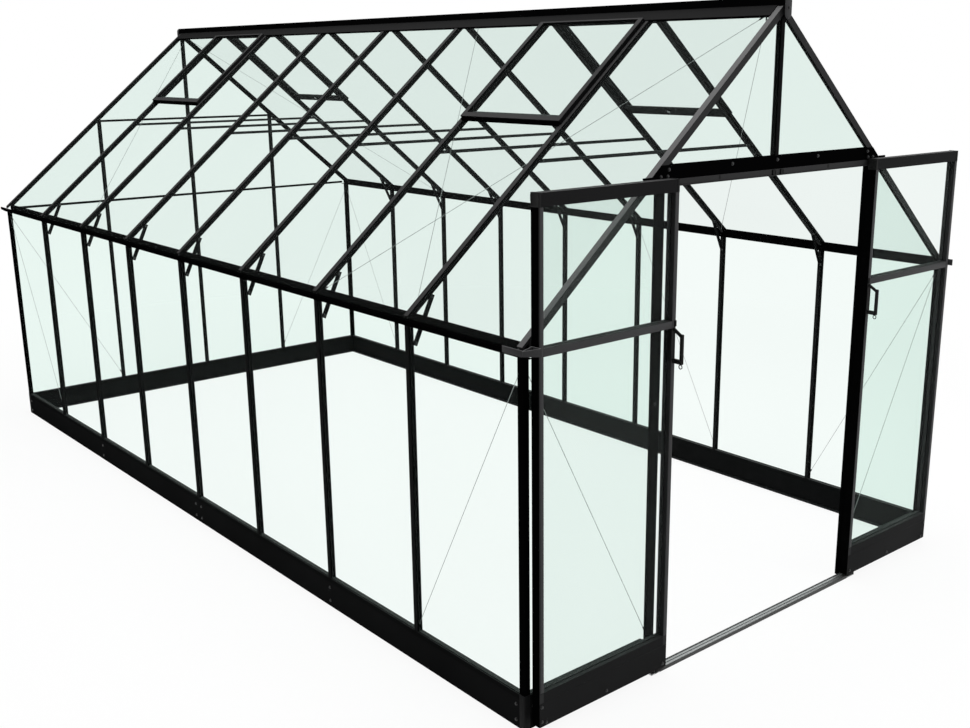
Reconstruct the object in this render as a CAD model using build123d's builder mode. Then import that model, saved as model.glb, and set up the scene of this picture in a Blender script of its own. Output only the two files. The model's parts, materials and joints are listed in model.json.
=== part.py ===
import os
from math import cos, radians, sin, tan

from build123d import *

# Bays: glazing bars stand at one pitch along the walls and across the gables
bay_pitch = 625.0
wall_bays = 8
gable_bays = 4
frame_outset = 13.5

# Heights and roof
plinth_height = 112.0
sill_height = 20.0
eave_height = 1336.0
roof_lift = 37.7
roof_pitch = 40.33

# Glazing bar: cap outside the glass, seat inside it, then web and foot
bar_half = 10.0
rafter_half = 12.5
bar_flange = 2.5
bar_slot = 4.5
bar_rib = 2.5
bar_web = 2.0
bar_depth = 26.0
bar_foot = 4.0
bar_foot_half = 8.0
glass_thick = 4.0
glass_back = 5.0

# Corner posts and gable rafters
corner_leg = 26.0
corner_slot = 11.0
gable_skirt = 26.0
gable_skirt_thick = 3.0
gable_leg_back = 14.0

# Folded plinth sheet
sheet_thick = 3.0

# Gutter trough
gutter_thick = 2.5
gutter_foot = 2.0
gutter_lip_out = 24.0
gutter_rise = 15.0
gutter_lip_height = 29.0
gutter_bead = 5.0
gutter_overhang = 23.0
gutter_tail = 42.0
gutter_notch = 20.0

# Ridge bar
ridge_web = 6.0
ridge_flange = 50.0
ridge_flange_thick = 3.0
ridge_bead = 15.0
ridge_bead_height = 27.5
ridge_depth = 44.0
ridge_overhang = 16.0

# Doorway
jamb_width = 45.0
jamb_depth = 26.0
jamb_thick = 3.0
jamb_clear = 23.0
header_height = 74.0
header_thick = 3.0
header_flange = 22.0
threshold_width = 37.5
threshold_height = 12.5
threshold_nose = 4.0
threshold_flat = 17.0
threshold_past = 45.0

# Door leaves
door_overlap = 23.3
door_cover = 19.7
door_foot_gap = 24.0
door_rise_share = 0.48905
door_depth = 36.8
door_setback = 12.2
stile_width = 19.0
top_rail_height = 44.0
header_lap = 14.2
mid_rail_height = 26.6
mid_rail_rise = 6.4
bottom_rail_height = 39.0
kick_rise = 3.0
kick_thick = 3.0
rail_slot_depth = 10.0
door_glass_edge = 2.0

# Door track and rollers
track_thick = 2.0
track_height = 24.0
track_shelf = 7.2
track_end_back = 8.0
roller_radius = 9.0
roller_thick = 3.5
roller_gap = 1.2
roller_axle = 2.5
roller_inset = 50.0
running_gap = 0.3

# Door handle
handle_height = 146.0
handle_rise = 13.0
handle_stand = 46.5
handle_bar = 7.0
handle_width = 12.0
handle_splay = 22.0

# Ties, struts and wires
tie_rise_share = 0.5076
tie_height = 13.5
tie_width = 12.0
rail_rise = 23.0
rail_height = 14.0
rail_depth = 12.0
rail_end_back = 36.0
strut_drop = 77.0
strut_inset = 3.0
strut_reach = 115.0
strut_thick = 3.0
strut_width = 19.5
wire_diameter = 2.0
wire_end_back = 30.0
wire_lap = 10.0
wire_head_inset = 80.0
spare_head_inset = 115.0
wire_gap = 0.3

# Roof vents: second bay from each end, both slopes
vent_bay = 1
vent_length = 601.0
vent_side = 24.0
vent_top_side = 8.0
vent_height = 18.0
vent_lap = 9.0
vent_glass_lift = 6.0
vent_gap = 1.0
vent_sill_width = 50.0

# Allowance for cutting tools
overrun = 40.0

# Overall lines worked out from the bays
half_width = bay_pitch * gable_bays / 2 + frame_outset
half_length = bay_pitch * wall_bays / 2
gable_face = half_length + frame_outset
sill_top = plinth_height + sill_height
slope = tan(radians(roof_pitch))
slope_cos = cos(radians(roof_pitch))
slope_sin = sin(radians(roof_pitch))
roof_rise = slope * half_width
apex = eave_height + roof_lift + roof_rise
ridge_foot = apex - ridge_depth
glass_out = bar_flange + bar_slot
seat_in = glass_out + bar_flange
eave_inner = half_width - bar_depth
eave_end = half_width + gutter_foot
glass_eave = eave_end + bar_flange * 2
bar_lines = [half_length - bay_pitch * index for index in range(1, wall_bays)]
gable_lines = [bay_pitch * (index - gable_bays / 2) for index in range(1, gable_bays)]
vent_bays = (vent_bay, wall_bays - 1 - vent_bay)
door_top = eave_height + door_rise_share * roof_rise
mid_rail_level = eave_height + mid_rail_rise
tie_level = eave_height + tie_rise_share * roof_rise
rail_level = eave_height + rail_rise
door_back = gable_face + door_setback
door_front = door_back + door_depth
kick_top = plinth_height + kick_rise
kick_height = kick_top - door_foot_gap
bottom_rail_top = kick_top + bottom_rail_height
top_rail_bottom = door_top - top_rail_height
header_bottom = top_rail_bottom + header_lap
header_top = header_bottom + header_height
mid_rail_top = mid_rail_level + mid_rail_height


def roof_height(reach, depth):
    return apex - depth / slope_cos - slope * reach


def reach_at(height, depth):
    return (apex - depth / slope_cos - height) / slope


# The door posts stand where the header's lower edge meets the gable rafters
jamb_outer = reach_at(header_bottom, gable_skirt) - jamb_clear
doorway_half = jamb_outer - jamb_width
door_inner = doorway_half - door_cover
door_width = doorway_half + door_overlap
door_outer = door_inner + door_width


def save(part, name):
    part.label = name
    export_step(part, f"parts/{name}.step")


def wall_plane(side, along, height):
    return Plane((side * half_width, along, height), x_dir=(0, -side, 0), z_dir=(0, 0, 1))


def gable_plane(end, across, height):
    return Plane((across, end * gable_face, height), x_dir=(end, 0, 0), z_dir=(0, 0, 1))


def slope_plane(side, along):
    down = (side * slope_cos, 0, -slope_sin)
    return Plane((0, along, apex), x_dir=(0, side, 0), z_dir=down)


def roof_plane(side, along):
    normal = (side * slope_sin, 0, slope_cos)
    return Plane((0, along, apex), x_dir=(0, side, 0), z_dir=normal)


def bar_section(plane, half):
    foot_start = -bar_depth + bar_foot
    with BuildSketch(plane) as section:
        with BuildLine():
            Polyline(
                (0, 0),
                (half, 0),
                (half, -bar_flange),
                (bar_rib, -bar_flange),
                (bar_rib, -glass_out),
                (half, -glass_out),
                (half, -seat_in),
                (bar_web, -seat_in),
                (bar_web, foot_start),
                (bar_foot_half, foot_start),
                (bar_foot_half, -bar_depth),
                (0, -bar_depth),
            )
            mirror(about=Plane.YZ)
        make_face()
    return section.sketch


def corner_section(plane, side, end):
    far = corner_leg
    with BuildSketch(plane) as section:
        with BuildLine():
            points = [
                (0, 0),
                (0, far),
                (bar_flange, far),
                (bar_flange, far - corner_slot),
                (glass_out, far - corner_slot),
                (glass_out, far),
                (seat_in, far),
                (seat_in, seat_in),
                (far, seat_in),
                (far, glass_out),
                (far - corner_slot, glass_out),
                (far - corner_slot, bar_flange),
                (far, bar_flange),
                (far, 0),
            ]
            Polyline([(-side * inward, -end * along) for inward, along in points], close=True)
        make_face()
    return section.sketch


def gable_rafter_section(plane, outward):
    inner = frame_outset - corner_leg
    points = [
        (frame_outset, 0),
        (frame_outset, -gable_skirt),
        (frame_outset - gable_skirt_thick, -gable_skirt),
        (frame_outset - gable_skirt_thick, -seat_in),
        (frame_outset - gable_leg_back, -seat_in),
        (frame_outset - gable_leg_back, -gable_skirt),
        (frame_outset - gable_leg_back - gable_skirt_thick, -gable_skirt),
        (frame_outset - gable_leg_back - gable_skirt_thick, -seat_in),
        (inner, -seat_in),
        (inner, -glass_out),
        (inner + corner_slot, -glass_out),
        (inner + corner_slot, -bar_flange),
        (inner, -bar_flange),
        (inner, 0),
    ]
    with BuildSketch(plane) as section:
        with BuildLine():
            Polyline([(outward * along, depth) for along, depth in points], close=True)
        make_face()
    return section.sketch


def cross_outline(points, side):
    with BuildSketch(Plane.XZ) as outline:
        with BuildLine():
            Polyline([(side * reach, height) for reach, height in points], close=True)
        make_face()
    return outline.sketch


def rafter_limits(side):
    points = [
        (ridge_web / 2, apex + overrun),
        (eave_end, apex + overrun),
        (eave_end, roof_height(eave_end, seat_in)),
        (eave_inner, roof_height(eave_inner, seat_in)),
        (eave_inner, plinth_height),
        (ridge_web / 2, plinth_height),
    ]
    return cross_outline(points, side)


def gable_limits(depth):
    reach = half_width + overrun
    points = [
        (0, apex - depth / slope_cos),
        (reach, roof_height(reach, depth)),
        (reach, 0),
        (-reach, 0),
        (-reach, roof_height(reach, depth)),
    ]
    return cross_outline(points, 1)


def folded_strip(plane, points, thick):
    # Sheet folded along the points, its thickness lying to their left
    spine = [Vector(*point) for point in points]
    runs = [(b - a).normalized() for a, b in zip(spine, spine[1:])]
    sides = [Vector(-run.Y, run.X) for run in runs]
    inner = [spine[0] + sides[0] * thick]
    for corner, before, after in zip(spine[1:], sides, sides[1:]):
        inner.append(corner + (before + after) * (thick / (1 + before.dot(after))))
    inner.append(spine[-1] + sides[-1] * thick)
    with BuildSketch(plane) as section:
        with BuildLine():
            Polyline(spine + inner[::-1], close=True)
        make_face()
    return section.sketch


def plinth_section(plane):
    points = [(-bar_depth, 0), (0, 0), (0, plinth_height), (-bar_depth, plinth_height)]
    return folded_strip(plane, points, sheet_thick)


def sill_section(plane):
    slot_floor = sill_height - bar_flange - glass_back
    points = [
        (0, 0),
        (0, sill_height),
        (-bar_flange, sill_height),
        (-bar_flange, slot_floor),
        (-glass_out, slot_floor),
        (-glass_out, sill_height),
        (-bar_depth, sill_height),
        (-bar_depth, 0),
    ]
    with BuildSketch(plane) as section:
        with BuildLine():
            Polyline(points, close=True)
        make_face()
    return section.sketch


# Level of the glass feet in the sill slots
glass_foot = plinth_height + sill_height - bar_flange - glass_back
os.makedirs("parts", exist_ok=True)

# Plinth channels, closed at their ends, and sill rails of the long walls
for side, name in ((-1, "left"), (1, "right")):
    low = Plane((side * half_width, side * gable_face, 0), x_dir=(side, 0, 0), z_dir=(0, -side, 0))
    with BuildPart() as wall_plinth:
        extrude(plinth_section(low), amount=2 * gable_face)
        for end in (-1, 1):
            corner = (side * (half_width - bar_depth / 2), end * gable_face, plinth_height / 2)
            with BuildSketch(Plane(corner, x_dir=(1, 0, 0), z_dir=(0, -end, 0))):
                Rectangle(bar_depth, plinth_height)
            extrude(amount=sheet_thick)
    save(wall_plinth.part, f"{name}_plinth")
    sill_run = gable_face - corner_leg
    high = Plane(
        (side * half_width, side * sill_run, plinth_height),
        x_dir=(side, 0, 0),
        z_dir=(0, -side, 0),
    )
    with BuildPart() as wall_sill:
        extrude(sill_section(high), amount=2 * sill_run)
    save(wall_sill.part, f"{name}_sill")

# Plinth and sill of the back gable, and of the two short front runs beside the doorway
back_reach = half_width - bar_depth
back_low = Plane((-back_reach, gable_face, 0), x_dir=(0, 1, 0), z_dir=(1, 0, 0))
with BuildPart() as back_plinth:
    extrude(plinth_section(back_low), amount=2 * back_reach)
save(back_plinth.part, "back_plinth")

sill_reach = half_width - corner_leg
back_high = Plane((-sill_reach, gable_face, plinth_height), x_dir=(0, 1, 0), z_dir=(1, 0, 0))
with BuildPart() as back_sill:
    extrude(sill_section(back_high), amount=2 * sill_reach)
save(back_sill.part, "back_sill")

with BuildPart() as front_plinths:
    for start in (jamb_outer, -back_reach):
        low = Plane((start + back_reach - jamb_outer, -gable_face, 0), x_dir=(0, -1, 0), z_dir=(-1, 0, 0))
        extrude(plinth_section(low), amount=back_reach - jamb_outer)
save(front_plinths.part, "front_plinths")

with BuildPart() as front_sills:
    for start in (jamb_outer, -sill_reach):
        high = Plane(
            (start + sill_reach - jamb_outer, -gable_face, plinth_height),
            x_dir=(0, -1, 0),
            z_dir=(-1, 0, 0),
        )
        extrude(sill_section(high), amount=sill_reach - jamb_outer)
save(front_sills.part, "front_sills")

# Corner posts with a glass slot in each leg
with BuildPart() as corner_posts:
    for side in (-1, 1):
        for end in (-1, 1):
            corner = Plane((side * half_width, end * gable_face, plinth_height))
            extrude(corner_section(corner, side, end), amount=eave_height - plinth_height)
save(corner_posts.part, "corner_posts")

# Wall bars
for side, name in ((-1, "left"), (1, "right")):
    with BuildPart() as wall_bars:
        for along in bar_lines:
            extrude(bar_section(wall_plane(side, along, sill_top), bar_half), amount=eave_height - sill_top)
    save(wall_bars.part, f"{name}_wall_bars")

# Back gable: three bars cut to the roof, and a rail at eave level inside them
with BuildPart() as back_gable_bars:
    for across in gable_lines:
        extrude(bar_section(gable_plane(1, across, sill_top), bar_half), amount=ridge_foot - sill_top)
    extrude(gable_limits(gable_skirt), amount=2 * gable_face, both=True, mode=Mode.INTERSECT)
save(back_gable_bars.part, "back_gable_bars")

rail_face = gable_face - bar_depth
with BuildPart() as back_eave_rail:
    with BuildSketch(Plane((0, rail_face - rail_depth / 2, rail_level))):
        Rectangle(2 * (eave_inner - rail_end_back), rail_depth)
    extrude(amount=rail_height / 2, both=True)
save(back_eave_rail.part, "back_eave_rail")

# Gutters: an open trough whose outer run passes both gables
for side, name in ((-1, "left"), (1, "right")):
    trough = [
        (eave_inner, roof_height(eave_inner + gutter_thick, seat_in)),
        (eave_inner, eave_height),
        (half_width + gutter_foot, eave_height),
        (half_width + gutter_lip_out, eave_height + gutter_rise),
        (half_width + gutter_lip_out, eave_height + gutter_lip_height),
        (half_width + gutter_lip_out - gutter_bead, eave_height + gutter_lip_height),
    ]
    with BuildPart() as gutter:
        trough_section = folded_strip(Plane.XZ.offset(gable_face + gutter_overhang), trough, gutter_thick)
        extrude(trough_section, amount=-(2 * gable_face + gutter_overhang + gutter_tail))
        with BuildSketch(Plane.XY.offset(eave_height)):
            for end, past in ((-1, gutter_overhang), (1, gutter_tail)):
                notch_width = half_width - gutter_notch - eave_inner + overrun
                notch_centre = half_width - gutter_notch - notch_width / 2
                with Locations((notch_centre, end * (gable_face + past))):
                    Rectangle(notch_width, 2 * past)
        extrude(amount=apex, mode=Mode.SUBTRACT)
        if side < 0:
            mirror(about=Plane.YZ, mode=Mode.REPLACE)
    save(gutter.part, f"{name}_gutter")

# Ridge bar: web between the rafter heads, bead on top, flanges over the inner rafters
with BuildPart() as ridge_bar:
    with BuildSketch(Plane.XZ):
        with BuildLine():
            Polyline(
                (0, apex + ridge_bead_height),
                (ridge_bead / 2, apex + ridge_bead_height),
                (ridge_bead / 2, roof_height(ridge_bead / 2, 0)),
                (ridge_web / 2, roof_height(ridge_web / 2, 0)),
                (ridge_web / 2, ridge_foot),
                (0, ridge_foot),
            )
            mirror(about=Plane.YZ)
        make_face()
    extrude(amount=gable_face + ridge_overhang, both=True)
    flange_top = ridge_flange_thick / slope_cos
    with BuildSketch(Plane.XZ):
        with BuildLine():
            Polyline(
                (0, apex),
                (ridge_flange, roof_height(ridge_flange, 0)),
                (ridge_flange, roof_height(ridge_flange, 0) + flange_top),
                (0, apex + flange_top),
            )
            mirror(about=Plane.YZ)
        make_face()
    extrude(amount=gable_face - corner_leg, both=True)
save(ridge_bar.part, "ridge_bar")

# Rafters of both slopes, and the hooked gable rafters at each end
for side, name in ((-1, "left"), (1, "right")):
    with BuildPart() as rafters:
        for along in bar_lines:
            extrude(bar_section(slope_plane(side, along), rafter_half), amount=apex)
        extrude(rafter_limits(side), amount=2 * gable_face, both=True, mode=Mode.INTERSECT)
    save(rafters.part, f"{name}_rafters")

for end, name in ((-1, "front"), (1, "back")):
    with BuildPart() as gable_rafters:
        for side in (-1, 1):
            plane = slope_plane(side, end * half_length)
            extrude(gable_rafter_section(plane, side * end), amount=apex)
        limits = rafter_limits(-1) + rafter_limits(1)
        extrude(limits, amount=2 * gable_face, both=True, mode=Mode.INTERSECT)
    save(gable_rafters.part, f"{name}_rafters")

# Doorway: two jambs, header angle, post up to the ridge, track and threshold
with BuildPart() as door_posts:
    jamb = [
        (0, 0),
        (jamb_width, 0),
        (jamb_width, -bar_flange),
        (jamb_width - corner_slot, -bar_flange),
        (jamb_width - corner_slot, -glass_out),
        (jamb_width, -glass_out),
        (jamb_width, -seat_in),
        (jamb_thick, -seat_in),
        (jamb_thick, -jamb_depth),
        (0, -jamb_depth),
    ]
    for side in (-1, 1):
        with BuildSketch():
            with BuildLine():
                Polyline([(side * (doorway_half + a), -gable_face - d) for a, d in jamb], close=True)
            make_face()
        extrude(amount=header_bottom)
save(door_posts.part, "door_posts")

with BuildPart() as door_header:
    header_end = Plane((-half_width, -gable_face, header_bottom), x_dir=(0, -1, 0), z_dir=(-1, 0, 0))
    header_path = [(0, 0), (0, header_height), (-header_flange, header_height)]
    extrude(folded_strip(header_end, header_path, header_thick), amount=-2 * half_width)
    extrude(gable_limits(gable_skirt), amount=2 * gable_face, both=True, mode=Mode.INTERSECT)
save(door_header.part, "door_header")

with BuildPart() as front_ridge_post:
    extrude(bar_section(gable_plane(-1, 0, header_top), bar_half), amount=ridge_foot - header_top)
    extrude(gable_limits(gable_skirt), amount=2 * gable_face, both=True, mode=Mode.INTERSECT)
save(front_ridge_post.part, "front_ridge_post")

track_reach = door_outer - track_end_back
with BuildPart() as door_track:
    track_end = Plane((-track_reach, -gable_face, header_bottom), x_dir=(0, -1, 0), z_dir=(-1, 0, 0))
    track_path = [(0, track_height), (0, 0), (track_shelf, 0)]
    extrude(folded_strip(track_end, track_path, track_thick), amount=-2 * track_reach)
save(door_track.part, "door_track")

threshold_reach = doorway_half + threshold_past
with BuildPart() as threshold_rail:
    with BuildSketch(Plane((-threshold_reach, -gable_face, 0), x_dir=(0, -1, 0), z_dir=(-1, 0, 0))):
        with BuildLine():
            Polyline(
                (0, 0),
                (threshold_width, 0),
                (threshold_width, threshold_nose),
                (threshold_flat, threshold_height),
                (0, threshold_height),
                close=True,
            )
        make_face()
    extrude(amount=-2 * threshold_reach)
save(threshold_rail.part, "threshold_rail")

# Collar ties between the rafter feet, one more between the back gable rafters
with BuildPart() as collar_ties:
    for along in bar_lines:
        with BuildSketch(Plane((0, along, tie_level))):
            Rectangle(2 * half_width, tie_width)
        extrude(amount=tie_height / 2, both=True)
    extrude(gable_limits(bar_depth), amount=2 * gable_face, both=True, mode=Mode.INTERSECT)
save(collar_ties.part, "collar_ties")

with BuildPart() as back_gable_tie:
    with BuildSketch(Plane((0, rail_face - rail_depth / 2, tie_level))):
        Rectangle(2 * half_width, rail_depth)
    extrude(amount=tie_height / 2, both=True)
    extrude(gable_limits(seat_in), amount=2 * gable_face, both=True, mode=Mode.INTERSECT)
save(back_gable_tie.part, "back_gable_tie")

# Eave struts: flat bars against the front sides of the wall bar feet and rafter feet
strut_top_reach = eave_inner - strut_reach * slope_cos
strut_low = Vector(eave_inner - strut_inset, eave_height - strut_drop)
strut_high = Vector(strut_top_reach, roof_height(strut_top_reach, bar_depth))
strut_run = (strut_high - strut_low).normalized()
strut_side = Vector(-strut_run.Y, strut_run.X) * (strut_width / 2)
strut_points = [strut_low + strut_side, strut_low - strut_side]
strut_points += [strut_high - strut_side, strut_high + strut_side]
with BuildPart() as eave_struts:
    for along in bar_lines:
        with BuildSketch(Plane.XZ.offset(bar_foot_half - along)):
            with BuildLine():
                Polyline(strut_points, close=True)
            make_face()
        extrude(amount=strut_thick)
    mirror(about=Plane.YZ)
save(eave_struts.part, "eave_struts")

# Bracing wires: corner bays of the walls on the glass seats, roof ends under the rafter feet
seat_wire = seat_in + wire_diameter / 2 + wire_gap
foot_wire = bar_depth + wire_diameter / 2 + wire_gap
wire_low = sill_top + wire_end_back
wire_high = eave_height - wire_end_back
wall_wire_reach = half_width - seat_wire
gable_wire_reach = gable_face - seat_wire
corner_run = gable_face - corner_leg + wire_lap
corner_reach = half_width - corner_leg + wire_lap
first_line = bar_lines[0] + wire_lap
wall_wires = []
for side in (-1, 1):
    for end in (-1, 1):
        head = (side * wall_wire_reach, end * corner_run, wire_high)
        wall_wires.append((head, (side * wall_wire_reach, end * first_line, wire_low)))
    head = (side * corner_reach, gable_wire_reach, wire_high)
    wall_wires.append((head, (side * (gable_lines[-1] + wire_lap), gable_wire_reach, wire_low)))
    head = (side * corner_reach, -gable_wire_reach, wire_high)
    wall_wires.append((head, (side * (jamb_outer - wire_lap), -gable_wire_reach, wire_low)))
spare_head = (wall_wire_reach, bar_lines[4] - wire_lap, wire_high)
wall_wires.append((spare_head, (wall_wire_reach, bar_lines[5] + wire_lap, wire_low)))


def roof_point(side, reach, along, depth):
    return (side * reach, along, roof_height(reach, depth))


head_reach = ridge_web / 2 + wire_diameter / 2 + wire_gap
tail_reach = eave_inner - wire_lap
roof_wires = []
for side in (-1, 1):
    for end in (-1, 1):
        head = roof_point(side, head_reach, end * (gable_face - wire_head_inset), foot_wire)
        roof_wires.append((head, roof_point(side, tail_reach, end * bar_lines[1], foot_wire)))
spare_wire = foot_wire + wire_diameter + wire_gap
spare_head = roof_point(-1, head_reach, bar_lines[4] - spare_head_inset, spare_wire)
roof_wires.append((spare_head, roof_point(-1, tail_reach, bar_lines[-1], spare_wire)))

for ends, name in ((wall_wires, "wall_wires"), (roof_wires, "roof_wires")):
    with BuildPart() as wires:
        for start, stop in ends:
            run = Vector(*stop) - Vector(*start)
            with BuildSketch(Plane(start, z_dir=run)):
                Circle(wire_diameter / 2)
            extrude(amount=run.length)
    save(wires.part, name)

# Wall glass: one full-height pane a bay, standing in the sill slots
wall_edges = [gable_face - corner_leg + bar_half - glass_back]
wall_edges += [edge for line in bar_lines for edge in (line + glass_back, line - glass_back)]
wall_edges.append(-wall_edges[0])
wall_panes = list(zip(wall_edges[0::2], wall_edges[1::2]))
for side, name in ((-1, "left"), (1, "right")):
    with BuildPart() as wall_glass:
        for upper, lower in wall_panes:
            centre = (side * (half_width - glass_out + glass_thick / 2), (upper + lower) / 2, glass_foot)
            with BuildSketch(Plane(centre)):
                Rectangle(glass_thick, upper - lower)
            extrude(amount=eave_height - glass_foot)
    save(wall_glass.part, f"{name}_wall_glass")

# Roof glass: full panes from ridge to gutter, short panes below the vents
vent_head = ridge_flange / slope_cos + vent_gap
vent_foot = vent_head + vent_length
glass_head = bar_half / slope_cos
glass_tail = glass_eave / slope_cos
for side, name in ((-1, "left"), (1, "right")):
    with BuildPart() as roof_glass:
        for bay, (upper, lower) in enumerate(wall_panes):
            head = vent_foot if bay in vent_bays else glass_head
            plane = roof_plane(side, (upper + lower) / 2).offset(-glass_out)
            with BuildSketch(plane):
                with Locations((0, -(head + glass_tail) / 2)):
                    Rectangle(upper - lower, glass_tail - head)
            extrude(amount=glass_thick)
    save(roof_glass.part, f"{name}_roof_glass")

# Vent sills carry the lower edge of each vent between two rafters
with BuildPart() as vent_sills:
    for side in (-1, 1):
        for bay in vent_bays:
            upper, lower = wall_panes[bay]
            plane = roof_plane(side, (upper + lower) / 2).offset(-glass_out)
            with BuildSketch(plane):
                with Locations((0, -(vent_foot - vent_gap - vent_sill_width / 2))):
                    Rectangle(upper - lower, vent_sill_width)
            extrude(amount=bar_slot)
save(vent_sills.part, "vent_sills")

# Vents: a slotted frame lying on the rafter caps, and its pane
vent_width = bay_pitch - 2 * (rafter_half - vent_lap)
vent_middle = vent_head + vent_length / 2
vent_drop = (vent_side - vent_top_side) / 2
vent_pane_length = vent_length - (vent_side + vent_top_side) / 2
for side, name in ((-1, "left"), (1, "right")):
    with BuildPart() as vent_frames:
        for bay in vent_bays:
            along = half_length - bay_pitch * bay - bay_pitch / 2
            with BuildSketch(roof_plane(side, along)):
                with Locations((0, -vent_middle)):
                    Rectangle(vent_width, vent_length)
                with Locations((0, vent_drop - vent_middle)):
                    Rectangle(
                        vent_width - 2 * vent_side,
                        vent_length - vent_side - vent_top_side,
                        mode=Mode.SUBTRACT,
                    )
            extrude(amount=vent_height)
            with BuildSketch(roof_plane(side, along).offset(vent_glass_lift)):
                with Locations((0, vent_drop / 2 - vent_middle)):
                    Rectangle(vent_width - vent_side, vent_pane_length)
            extrude(amount=glass_thick, mode=Mode.SUBTRACT)
    save(vent_frames.part, f"{name}_vent_frames")
    with BuildPart() as vent_glass:
        for bay in vent_bays:
            along = half_length - bay_pitch * bay - bay_pitch / 2
            with BuildSketch(roof_plane(side, along).offset(vent_glass_lift)):
                with Locations((0, vent_drop / 2 - vent_middle)):
                    Rectangle(vent_width - vent_side, vent_pane_length)
            extrude(amount=glass_thick)
    save(vent_glass.part, f"{name}_vent_glass")

# Gable glass stands behind the skirts of the gable rafters
glass_cover = gable_skirt - bar_half + gable_skirt_thick
gable_glass_out = gable_face - glass_out
gutter_clear = eave_inner - bar_flange
corner_edge = half_width - corner_leg + bar_half - glass_back


def gable_pane(near, far, foot):
    points = [(near, foot), (far, foot)]
    if far > gutter_clear:
        shoulder = eave_height - bar_flange
        points += [(far, shoulder), (gutter_clear, shoulder)]
        points.append((gutter_clear, roof_height(gutter_clear, glass_cover)))
    else:
        points.append((far, roof_height(far, glass_cover)))
    points.append((near, roof_height(near, glass_cover)))
    return points


quarter = gable_lines[-1]
back_panes = [(glass_back, quarter - glass_back), (quarter + glass_back, corner_edge)]
with BuildPart() as back_gable_glass:
    for side in (-1, 1):
        for near, far in back_panes:
            with BuildSketch(Plane.XZ.offset(-gable_glass_out)):
                with BuildLine():
                    Polyline([(side * a, z) for a, z in gable_pane(near, far, glass_foot)], close=True)
                make_face()
            extrude(amount=-glass_thick)
save(back_gable_glass.part, "back_gable_glass")

front_near = jamb_outer - corner_slot + bar_rib
with BuildPart() as front_side_glass:
    for side in (-1, 1):
        points = gable_pane(front_near, corner_edge, glass_foot)
        with BuildSketch(Plane.XZ.offset(gable_glass_out)):
            with BuildLine():
                Polyline([(side * a, z) for a, z in points], close=True)
            make_face()
        extrude(amount=glass_thick)
save(front_side_glass.part, "front_side_glass")

with BuildPart() as front_top_glass:
    for side in (-1, 1):
        top_far = reach_at(header_top, glass_cover)
        points = [
            (glass_back, header_top),
            (top_far, header_top),
            (glass_back, roof_height(glass_back, glass_cover)),
        ]
        with BuildSketch(Plane.XZ.offset(gable_glass_out)):
            with BuildLine():
                Polyline([(side * a, z) for a, z in points], close=True)
            make_face()
        extrude(amount=glass_thick)
save(front_top_glass.part, "front_top_glass")

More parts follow.
